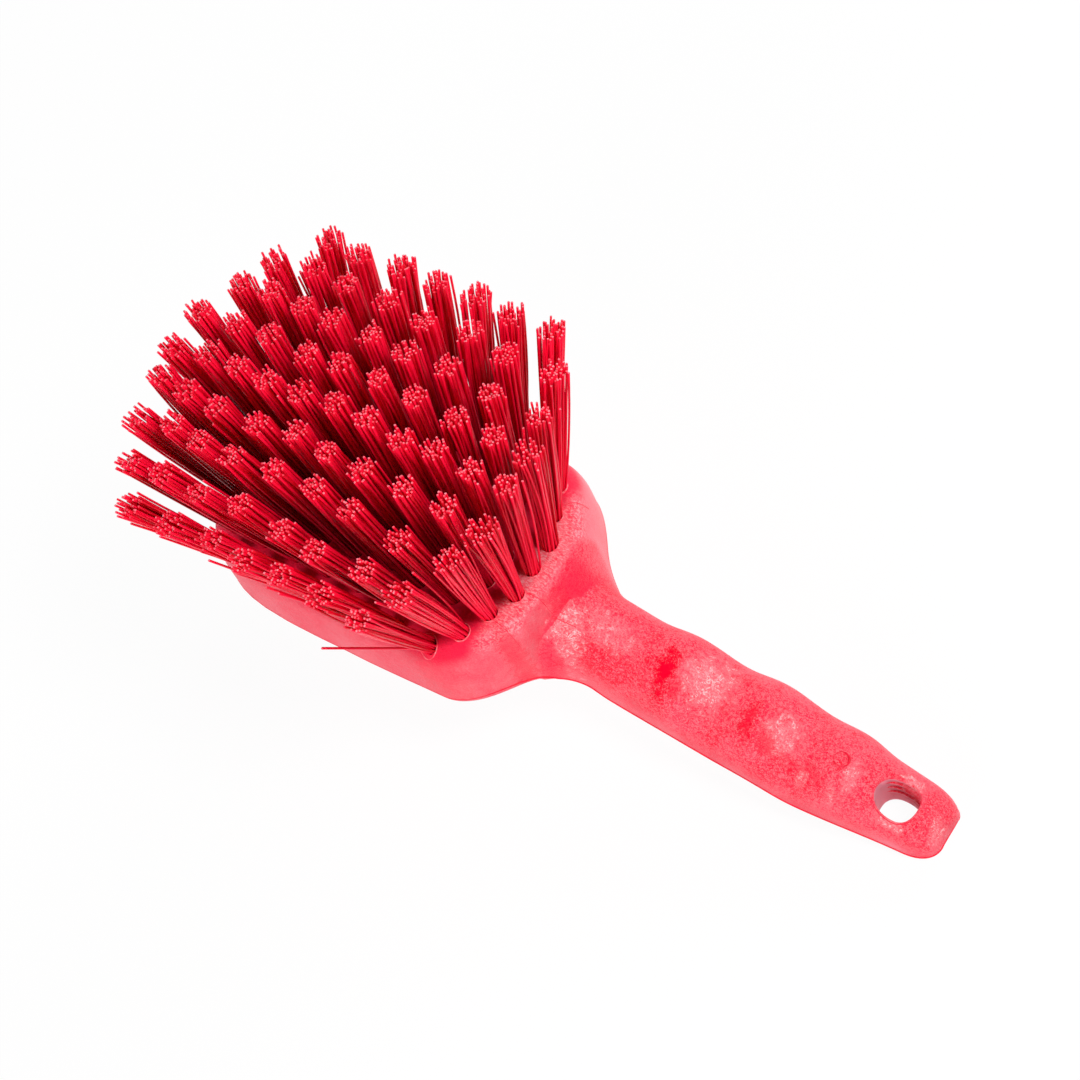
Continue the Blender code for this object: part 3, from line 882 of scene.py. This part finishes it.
def make_lips(material):
    """The lips that drilling tore up round the holes by the handle, uneven in width and height."""
    rng = random.Random(SEED + 1)
    bm = bmesh.new()
    for x, y in all_tufts():
        phase = rng.uniform(0, math.tau)
        roughness = [rng.uniform(-LIP_ROUGHNESS, LIP_ROUGHNESS) for _ in range(LIP_SIDES)]
        if x < LIP_FIELD_EDGE:
            continue
        mouth, way = tuft_way(x, y)
        rings = []
        for turn, rough in zip(turns(LIP_SIDES), roughness):
            wobble = math.sin(turn + phase) + LIP_WAVE * math.sin(3 * turn + 2 * phase) + rough
            tube = LIP_RADIUS * (1.0 + LIP_TUBE_WOBBLE * wobble)
            reach = MOUTH_RADIUS + LIP_SPREAD * (1.0 + LIP_REACH_WOBBLE * wobble)
            out = Vector((math.cos(turn), math.sin(turn), 0.0))
            middle = mouth + reach * out
            middle.z = top_z(middle.x, middle.y)
            ring = ring_points(middle, tube, out, way, TUBE_SIDES)
            rings.append([bm.verts.new(point) for point in ring])
        join_rings(bm, rings, closed=True)
    finish_lines(bm, "hole_lips", material)


class Strands:
    """Collects filaments as one mesh, each point with its tone, its share of painted root shade by depth
    in the field, and place along.
    """

    def __init__(self):
        self.points = []
        self.faces = []
        self.caps = []
        self.values = {"tone": [], "root_shade": [], "along": [], "cut_end": []}

    def add(self, path, tone, root_shade, spin):
        """One filament along path, closed by a slightly rounded cut end."""
        first = len(self.points)
        sides = FILAMENT_SIDES
        along = (path[-1] - path[0]).normalized()
        side = along.orthogonal().normalized()
        up = along.cross(side)
        last = len(path) - 1
        levels = [(point, FILAMENT_RADIUS, number / last, 0.0) for number, point in enumerate(path)]
        levels.append((path[-1] + along * CUT_ROUND, FILAMENT_RADIUS - CUT_ROUND, 1.0, 1.0))
        for point, radius, share, end in levels:
            self.points += ring_points(point, radius, side, up, sides, spin)
            for kind, value in zip(self.values, (tone, root_shade, share, end)):
                self.values[kind] += [value] * sides
        for level in range(len(levels) - 1):
            low = first + level * sides
            for corner in range(sides):
                after = (corner + 1) % sides
                self.faces.append((low + corner, low + after, low + sides + after, low + sides + corner))
        top = first + (len(levels) - 1) * sides
        self.caps.append(len(self.faces))
        self.faces.append(tuple(top + corner for corner in range(sides)))
        self.caps.append(len(self.faces))
        self.faces.append(tuple(first + corner for corner in reversed(range(sides))))

    def mesh(self, name):
        """The mesh of all filaments, smooth but for its caps."""
        mesh = bpy.data.meshes.new(name)
        mesh.from_pydata(self.points, [], self.faces)
        for kind, values in self.values.items():
            layer = mesh.attributes.new(kind, "FLOAT", "POINT")
            layer.data.foreach_set("value", values)
        smooth = [True] * len(self.faces)
        for cap in self.caps:
            smooth[cap] = False
        mesh.polygons.foreach_set("use_smooth", smooth)
        mesh.update()
        return mesh


def disc_spots(count, rng):
    """Spots spread evenly over a unit disc in a sunflower pattern, each nudged a little."""
    golden = math.pi * (3 - math.sqrt(5))
    start = rng.uniform(0, math.tau)
    nudge = SPOT_NUDGE / math.sqrt(count)
    spots = []
    for number in range(count):
        radius = math.sqrt((number + 0.5) / count)
        turn = start + number * golden
        x = radius * math.cos(turn) + rng.uniform(-nudge, nudge)
        y = radius * math.sin(turn) + rng.uniform(-nudge, nudge)
        spots.append(Vector((x, y, 0)))
    return spots


def scattered(rng, across, up):
    """A random shift, by its spreads across and up."""
    return Vector((rng.gauss(0, across), rng.gauss(0, across), rng.gauss(0, up)))


def add_tuft(strands, x, y, top_radius, root_shade, low_strays, rng):
    """One tuft: filaments packed in their hole that open towards uneven tips, some astray."""
    mouth, way = tuft_way(x, y)
    seat = mouth - way * MOUTH_DEPTH * SEAT_DEPTH_SHARE
    top = tuft_tip(x, y) + FIELD_LEAN + scattered(rng, TUFT_LEAN, TIP_HEIGHT_SCATTER / 2)
    top_radius *= rng.uniform(1.0 - TOP_RADIUS_SPREAD, 1.0 + TOP_RADIUS_SPREAD)
    turned = Vector((0, 0, 1)).rotation_difference(way)
    for spot in disc_spots(FILAMENTS, rng):
        tip = top + spot * top_radius + scattered(rng, TIP_SCATTER, TIP_HEIGHT_SCATTER)
        if rng.random() < STRAY_SHARE:
            turn = rng.uniform(0, math.tau)
            tip += Vector((math.cos(turn), math.sin(turn), -rng.random())) * STRAY_REACH
        if low_strays and rng.random() < LOW_STRAY_SHARE:
            tip.z -= rng.uniform(*LOW_STRAY_DROP)
        spread = turned @ (spot * BUNDLE_RADIUS)
        bend = Vector((rng.gauss(0, FILAMENT_BEND), rng.gauss(0, FILAMENT_BEND), 0))
        path = [seat + spread]
        for ring in range(FILAMENT_RINGS):
            share = ring / (FILAMENT_RINGS - 1)
            path.append((mouth + spread).lerp(tip, share) + 4 * share * (1 - share) * bend)
        strands.add(path, rng.random(), root_shade, rng.uniform(0, math.tau))


def make_tufts(material):
    """Nine rows of tufts, each row one piece in place of its plain solid."""
    rng = random.Random(SEED)
    for row, count in enumerate(ROW_TUFTS):
        strands = Strands()
        for number, (x, y) in enumerate(tuft_places(row)):
            at_rim = row in (0, len(ROW_TUFTS) - 1) or number == 0
            radius = RIM_TOP_RADIUS if at_rim else TUFT_TOP_RADIUS
            if number == count - 1:
                radius = NEAR_TOP_RADIUS if row in WIDE_NEAR_ROWS else RIM_TOP_RADIUS
            # Painted shade towards the roots: full inside the field, less on the tufts second from the
            # handle's end, none on the first row or by the handle.
            root_shade = SECOND_TUFT_ROOT_SHADE if number == count - 2 else 1.0
            if row == 0 or number == count - 1:
                root_shade = 0.0
            add_tuft(strands, x, y, radius, root_shade, row == 0, rng)
        if row == 0:
            low, high = (Vector(end) for end in LOOSE_FILAMENT)
            path = [low.lerp(high, step / FILAMENT_RINGS) for step in range(FILAMENT_RINGS + 1)]
            strands.add(path, LOOSE_TONE, 0.0, 0.0)
        name = f"tuft_row_{row + 1}"
        tufts = new_object(name, strands.mesh(name))
        tufts.data.materials.append(material)
        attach(tufts, "root")
        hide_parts(f"bristle_row_{row + 1}")


def fill(made, inputs):
    """Sets a node's inputs, each to a written value or to another node's output."""
    for name, value in inputs.items():
        if isinstance(value, bpy.types.NodeSocket):
            made.id_data.links.new(value, made.inputs[name])
        else:
            made.inputs[name].default_value = value


def node(tree, kind, inputs=None, **settings):
    """Adds a shader node with its settings and inputs."""
    made = tree.nodes.new(kind)
    for name, value in settings.items():
        setattr(made, name, value)
    fill(made, inputs or {})
    return made


def new_material(name):
    material = bpy.data.materials.new(name)
    material.use_nodes = True
    tree = material.node_tree
    return material, tree, tree.nodes["Principled BSDF"]


def value_range(tree, value, low, high, to_low=0.0, to_high=1.0):
    """The value mapped from low..high to to_low..to_high, clamped."""
    ends = {"From Min": low, "From Max": high, "To Min": to_low, "To Max": to_high}
    inputs = {"Value": value, **ends}
    return node(tree, "ShaderNodeMapRange", inputs, interpolation_type="SMOOTHSTEP").outputs["Result"]


def falling(tree, value, low, high):
    """1 where the value is below low, falling to 0 at high."""
    return value_range(tree, value, low, high, 1.0, 0.0)


def math_of(tree, operation, a, b):
    return node(tree, "ShaderNodeMath", {0: a, 1: b}, operation=operation).outputs[0]


def both(tree, *shares):
    """The product of several shares."""
    total = shares[0]
    for share in shares[1:]:
        total = math_of(tree, "MULTIPLY", total, share)
    return total


def vector_math(tree, operation, vector, values=(0.0, 0.0, 0.0)):
    """A vector with written values added to it or multiplied into it."""
    return node(tree, "ShaderNodeVectorMath", {0: vector, 1: values}, operation=operation).outputs


def split_of(tree, vector):
    return node(tree, "ShaderNodeSeparateXYZ", {0: vector}).outputs


def mix_colour(tree, factor, low, high):
    """A colour between two, each a socket or a written colour."""
    low, high = ((*colour, 1) if isinstance(colour, tuple) else colour for colour in (low, high))
    inputs = {"Factor": factor, 6: low, 7: high}
    return node(tree, "ShaderNodeMix", inputs, data_type="RGBA").outputs[2]


def coated(tree, colour, *coats):
    """The colour under coats, each as (share of the surface, its strength if not 1, colour)."""
    for share, *strength, coat in coats:
        colour = mix_colour(tree, both(tree, share, *strength), colour, coat)
    return colour


def object_place(tree):
    return node(tree, "ShaderNodeTexCoord").outputs["Object"]


def noise_at(tree, place, *values):
    """A noise, by its scale, detail, roughness and distortion."""
    inputs = dict(zip(("Vector", "Scale", "Detail", "Roughness", "Distortion"), (place, *values)))
    return node(tree, "ShaderNodeTexNoise", inputs).outputs["Fac"]


def texture(tree, place, name, to_low=0.0, to_high=1.0):
    """A noise of the table, with its range drawn out to to_low..to_high."""
    values, (low, high) = TEXTURES[name]
    return value_range(tree, noise_at(tree, place, *values), low, high, to_low, to_high)


def stain(tree, place, wander, spot, reach):
    """1 inside an oval about a spot of the plan, 0 outside, with an edge that wanders."""
    shifted = vector_math(tree, "ADD", place, (-spot[0], -spot[1], 0.0))
    scaled = vector_math(tree, "MULTIPLY", shifted[0], (1 / reach[0], 1 / reach[1], 0.0))
    length = vector_math(tree, "LENGTH", scaled[0])["Value"]
    return falling(tree, math_of(tree, "ADD", length, wander), *STAIN_EDGE)


def stains(tree, place, wander, spots):
    """The strongest of several stains, each with its own strength."""
    total = None
    for spot, reach, strength in spots:
        one = both(tree, stain(tree, place, wander, spot, reach), strength)
        total = one if total is None else math_of(tree, "MAXIMUM", total, one)
    return total


def worms(tree, place):
    """Short curled strokes: the ridges of one noise, broken up by another."""
    ridge = math_of(tree, "SUBTRACT", noise_at(tree, place, *WORM_NOISE), 0.5)
    near = falling(tree, math_of(tree, "ABSOLUTE", ridge, 0.0), 0.0, WORM_WIDTH)
    return both(tree, near, texture(tree, place, "worm_gaps"))


def painted_step_shade(tree, x, y, facing_x):
    """Where shade is painted on the step in crimson: on its slope but for the +Y side, and in a band
    over its crease.
    """
    here = both(
        tree,
        value_range(tree, x, STEP_TOP, STEP_CREASE),
        falling(tree, x, *SLOPE_FADE),
        falling(tree, y, *SLOPE_SIDE),
    )
    slope = both(tree, value_range(tree, facing_x, *SLOPE_FACING), here, SLOPE_SHARE)
    bend = value_range(tree, y, -BEND_SIDE[1], -BEND_SIDE[0], CREASE_BEND, 0.0)
    start = math_of(tree, "ADD", x, both(tree, bend, BAND_START_BEND))
    band = both(
        tree,
        value_range(tree, start, *BAND_START),
        falling(tree, math_of(tree, "ADD", x, bend), *BAND_CREASE),
        value_range(tree, y, *BAND_NEAR_END),
        falling(tree, y, *BAND_FAR_END),
    )
    return math_of(tree, "MAXIMUM", slope, both(tree, band, BAND_SHARE))


def foamed_plastic():
    """Structural foam: saturated grainy top with dense spots and pale swirls, plainer walls, paler
    partly by painted light, painted light in the slot, and painted shade on the step and under the
    tufts.
    """
    material, tree, shader = new_material("foamed_plastic")
    spots = node(tree, "ShaderNodeTexCoord")
    place = spots.outputs["Object"]
    x, y, _ = split_of(tree, place)
    facing_x, facing_y, facing_z = split_of(tree, spots.outputs["Normal"])
    cloud = texture(tree, place, "cloud")
    mottle = texture(tree, place, "mottle")
    grain = texture(tree, place, "grain")
    streak = texture(tree, vector_math(tree, "MULTIPLY", place, (STREAK_STRETCH, 1.0, 1.0))[0], "streak")

    on_head = falling(tree, x, *HEAD_SKIN_END)
    head_wall = both(tree, falling(tree, facing_z, *HEAD_WALL_FACING), on_head)
    wall = math_of(tree, "MAXIMUM", falling(tree, facing_z, *WALL_FACING), head_wall)
    # Painted light: paler walls where they face +Y.
    painted_light_wall = value_range(tree, facing_y, *PAINTED_LIGHT_WALL_FACING, 0.0, PAINTED_LIGHT_WALL_SHARE)
    # Painted light on the slot's wall; the pale swirls are kept off it.
    painted_slot_light = both(tree, wall, stain(tree, place, 0.0, SLOT_MIDDLE, SLOT_WALL_REACH))
    wander = texture(tree, place, "wander", -WANDER, WANDER)
    grainy = both(tree, math_of(tree, "SUBTRACT", grain, 0.5), WANDER_GRAIN)
    wander = math_of(tree, "ADD", wander, grainy)
    dense = stains(tree, place, wander, DENSE_SPOTS)
    speckled = stains(tree, place, wander, SPECKLED_SPOTS)
    pale = stains(tree, place, wander, PALE_SPOTS)
    pale = both(tree, pale, math_of(tree, "SUBTRACT", 1.0, painted_slot_light))
    # The pale wash: pale swirl zones, and painted highlights by the slot's rims.
    wash = both(tree, pale, math_of(tree, "ADD", both(tree, streak, WASH_STREAK), WASH_LEAST))

    skin = coated(
        tree,
        mix_colour(tree, cloud, SKIN_DEEP, SKIN_LIGHT),
        (mottle, *SKIN_MOTTLE),
        (grain, *SKIN_GRAIN),
        (both(tree, texture(tree, place, "fleck"), texture(tree, place, "fleck_zone")), *SKIN_FLECK),
        (both(tree, texture(tree, place, "speck"), speckled), *SKIN_SPECK),
    )
    face = coated(
        tree,
        mix_colour(tree, mottle, FACE_DEEP, FACE_LIGHT),
        (streak, *FACE_STREAK),
        # Painted shade on the face under the tufts.
        (falling(tree, x, *FIELD_SHADE_EDGE), FACE_PAINTED_SHADE),
    )
    # plain: the walls' smoother skin, its paleness partly painted light.
    plain = coated(
        tree, mix_colour(tree, cloud, WALL_DEEP, WALL_LIGHT), (grain, *WALL_GRAIN), (painted_light_wall, WALL_PAINTED_LIGHT)
    )
    colour = coated(
        tree,
        skin,
        (on_head, face),
        (wall, plain),
        (painted_slot_light, *SLOT_WALL_PAINTED_LIGHT),
        (wash, PALE_WASH),
        (both(tree, worms(tree, place), pale), WORM_STROKE),
        (dense, DENSE_SPOT),
        # Painted shade on the step's slope and crease.
        (painted_step_shade(tree, x, y, facing_x), STEP_PAINTED_SHADE),
    )
    relief = math_of(tree, "ADD", both(tree, mottle, RELIEF_MOTTLE), both(tree, grain, RELIEF_GRAIN))
    relief = math_of(tree, "ADD", relief, both(tree, dense, RELIEF_DENSE))
    inputs = {
        "Base Color": colour,
        "Roughness": value_range(tree, grain, 0.0, 1.0, *SKIN_ROUGHNESS),
        "Specular IOR Level": value_range(tree, dense, 0.0, 1.0, *SKIN_SPECULAR),
        "Normal": node(tree, "ShaderNodeBump", {"Height": relief, **RELIEF}).outputs["Normal"],
    }
    fill(shader, inputs | SKIN_SHEEN)
    return material


def thin_plastic(name):
    """The same plastic where it is thin: flash, seams and the pin's ring, which is dark as painted
    shade, or a torn lip.
    """
    material, tree, shader = new_material(name)
    grain = texture(tree, object_place(tree), "thin_grain")
    inputs = {
        "Base Color": mix_colour(tree, grain, *THIN_SKINS[name]),
        "Roughness": value_range(tree, grain, 0.0, 1.0, *THIN_ROUGHNESS),
        "Specular IOR Level": THIN_SPECULAR,
    }
    fill(shader, inputs)
    return material


def strand_value(tree, name):
    """A value that Strands kept at each point."""
    return node(tree, "ShaderNodeAttribute", attribute_name=name).outputs["Fac"]


def bristle_plastic():
    """Extruded filament: deep glossy red, each of its own tone, with paler cut ends, and painted shade
    darkening the inner tufts towards their roots.
    """
    material, tree, shader = new_material("bristle")
    tone = strand_value(tree, "tone")
    along = strand_value(tree, "along")
    end = strand_value(tree, "cut_end")
    # root: painted shade, darkening the inner tufts towards their roots.
    root = both(tree, strand_value(tree, "root_shade"), ROOT_SHADE_SHARE, falling(tree, along, *ROOT_SHADE_FADE))
    fade = texture(tree, object_place(tree), "strand_fade", 0.0, STRAND_COAT_SHARE)
    tip = value_range(tree, along, STRAND_TIP_START, 1.0, 0.0, STRAND_COAT_SHARE)
    colour = coated(
        tree,
        mix_colour(tree, value_range(tree, tone, 0.0, STRAND_LIGHT_TONE), STRAND_DEEP, STRAND_LIGHT),
        (fade, STRAND_FADE),
        (tip, STRAND_TIP),
        (root, ROOT_PAINTED_SHADE),
        (end, mix_colour(tree, tone, CUT_DEEP, CUT_LIGHT)),
    )
    roughness = value_range(tree, end, 0.0, 1.0, *STRAND_ROUGHNESS)
    fill(shader, {"Base Color": colour, "Roughness": roughness, "Specular IOR Level": STRAND_SPECULAR})
    return material


def staple_wire():
    """Drawn brass wire with a faint drawing grain."""
    material, tree, shader = new_material("staple_wire")
    grain = noise_at(tree, object_place(tree), *WIRE_NOISE)
    colour = mix_colour(tree, grain, WIRE_DEEP, WIRE_LIGHT)
    roughness = value_range(tree, grain, *WIRE_GRAIN, *WIRE_ROUGHNESS)
    fill(shader, {"Base Color": colour, "Roughness": roughness, "Metallic": 1.0})
    return material


def dress_staples(material):
    for name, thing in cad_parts.items():
        if name.startswith("staple_"):
            thing.data.materials.clear()
            thing.data.materials.append(material)


def seen_share(tree):
    """1 for rays from the camera, off gloss or through glass, and 0 for those that carry light."""
    path = node(tree, "ShaderNodeLightPath")
    seen = math_of(tree, "MAXIMUM", path.outputs["Is Camera Ray"], path.outputs["Is Glossy Ray"])
    return math_of(tree, "MAXIMUM", seen, path.outputs["Is Transmission Ray"])


def make_floor():
    """A floor under the brush's lowest point that looks white but keeps some of the brush's shadow."""
    bm = bmesh.new()
    bmesh.ops.create_grid(bm, x_segments=1, y_segments=1, size=FLOOR_REACH)
    floor = new_object("floor", mesh_from(bm, "floor"))
    floor.location.z = cad_box[0][2]
    material, tree, shader = new_material("floor_white")
    tone = (FLOOR_WHITE, FLOOR_WHITE, FLOOR_WHITE, 1)
    fill(shader, {"Base Color": tone, "Roughness": FLOOR_ROUGHNESS})
    white = node(tree, "ShaderNodeEmission", {"Color": (1, 1, 1, 1), "Strength": 1.0})
    share = both(tree, seen_share(tree), 1.0 - FLOOR_SHADOW)
    mixed = node(tree, "ShaderNodeMixShader", {0: share, 1: shader.outputs[0], 2: white.outputs[0]})
    fill(tree.nodes["Material Output"], {"Surface": mixed.outputs[0]})
    floor.data.materials.append(material)


def make_world():
    """A soft white studio around the brush."""
    world = bpy.data.worlds.new("studio")
    bpy.context.scene.world = world
    world.use_nodes = True
    tree = world.node_tree
    level = value_range(tree, seen_share(tree), 0.0, 1.0, WORLD_LEVEL, 1.0)
    fill(tree.nodes["Background"], {"Color": (1, 1, 1, 1), "Strength": level})


def make_lights():
    """Square area lamps that face the brush."""
    for name, place, side, power in LAMPS:
        lamp = bpy.data.lights.new(name, "AREA")
        lamp.shape = "SQUARE"
        lamp.size = side
        lamp.energy = power
        thing = new_object(name, lamp)
        thing.location = place
        thing.rotation_euler = (LAMP_AIM - Vector(place)).to_track_quat("-Z", "Y").to_euler()


def make_camera():
    """The photograph's camera, from its angles round the point that it looks at."""
    azimuth = math.radians(CAMERA_AZIMUTH)
    elevation = math.radians(CAMERA_ELEVATION)
    roll = math.radians(CAMERA_ROLL)
    flat = math.cos(elevation)
    back = Vector((math.sin(azimuth) * flat, -math.cos(azimuth) * flat, math.sin(elevation)))
    level_right = (-back).cross(Vector((0, 0, 1))).normalized()
    level_up = level_right.cross(-back)
    right = math.cos(roll) * level_right + math.sin(roll) * level_up
    up = -math.sin(roll) * level_right + math.cos(roll) * level_up
    camera = bpy.data.cameras.new("camera")
    camera.lens = CAMERA_LENS
    camera.sensor_width = CAMERA_SENSOR
    camera.clip_start = CAMERA_CLIP_START
    thing = new_object("camera", camera)
    turn = Matrix((right, up, back)).transposed().to_4x4()
    thing.matrix_world = Matrix.Translation(CAMERA_AIM + back * CAMERA_DISTANCE) @ turn
    bpy.context.scene.camera = thing


bpy.context.scene.view_settings.view_transform = "Standard"
# The moulding's unevenness hangs on this seed, which is taken from the clock if it isn't set.
noise.seed_set(SEED)
make_camera()
make_block(foamed_plastic())
make_flash(thin_plastic("dense_skin"))
make_seams(thin_plastic("seam_skin"))
# The pin's ring in a dark colour: painted shade.
make_pin_ring(thin_plastic("pin_ring_shade"))
make_lips(thin_plastic("torn_lip"))
make_tufts(bristle_plastic())
dress_staples(staple_wire())
make_floor()
make_world()
make_lights()
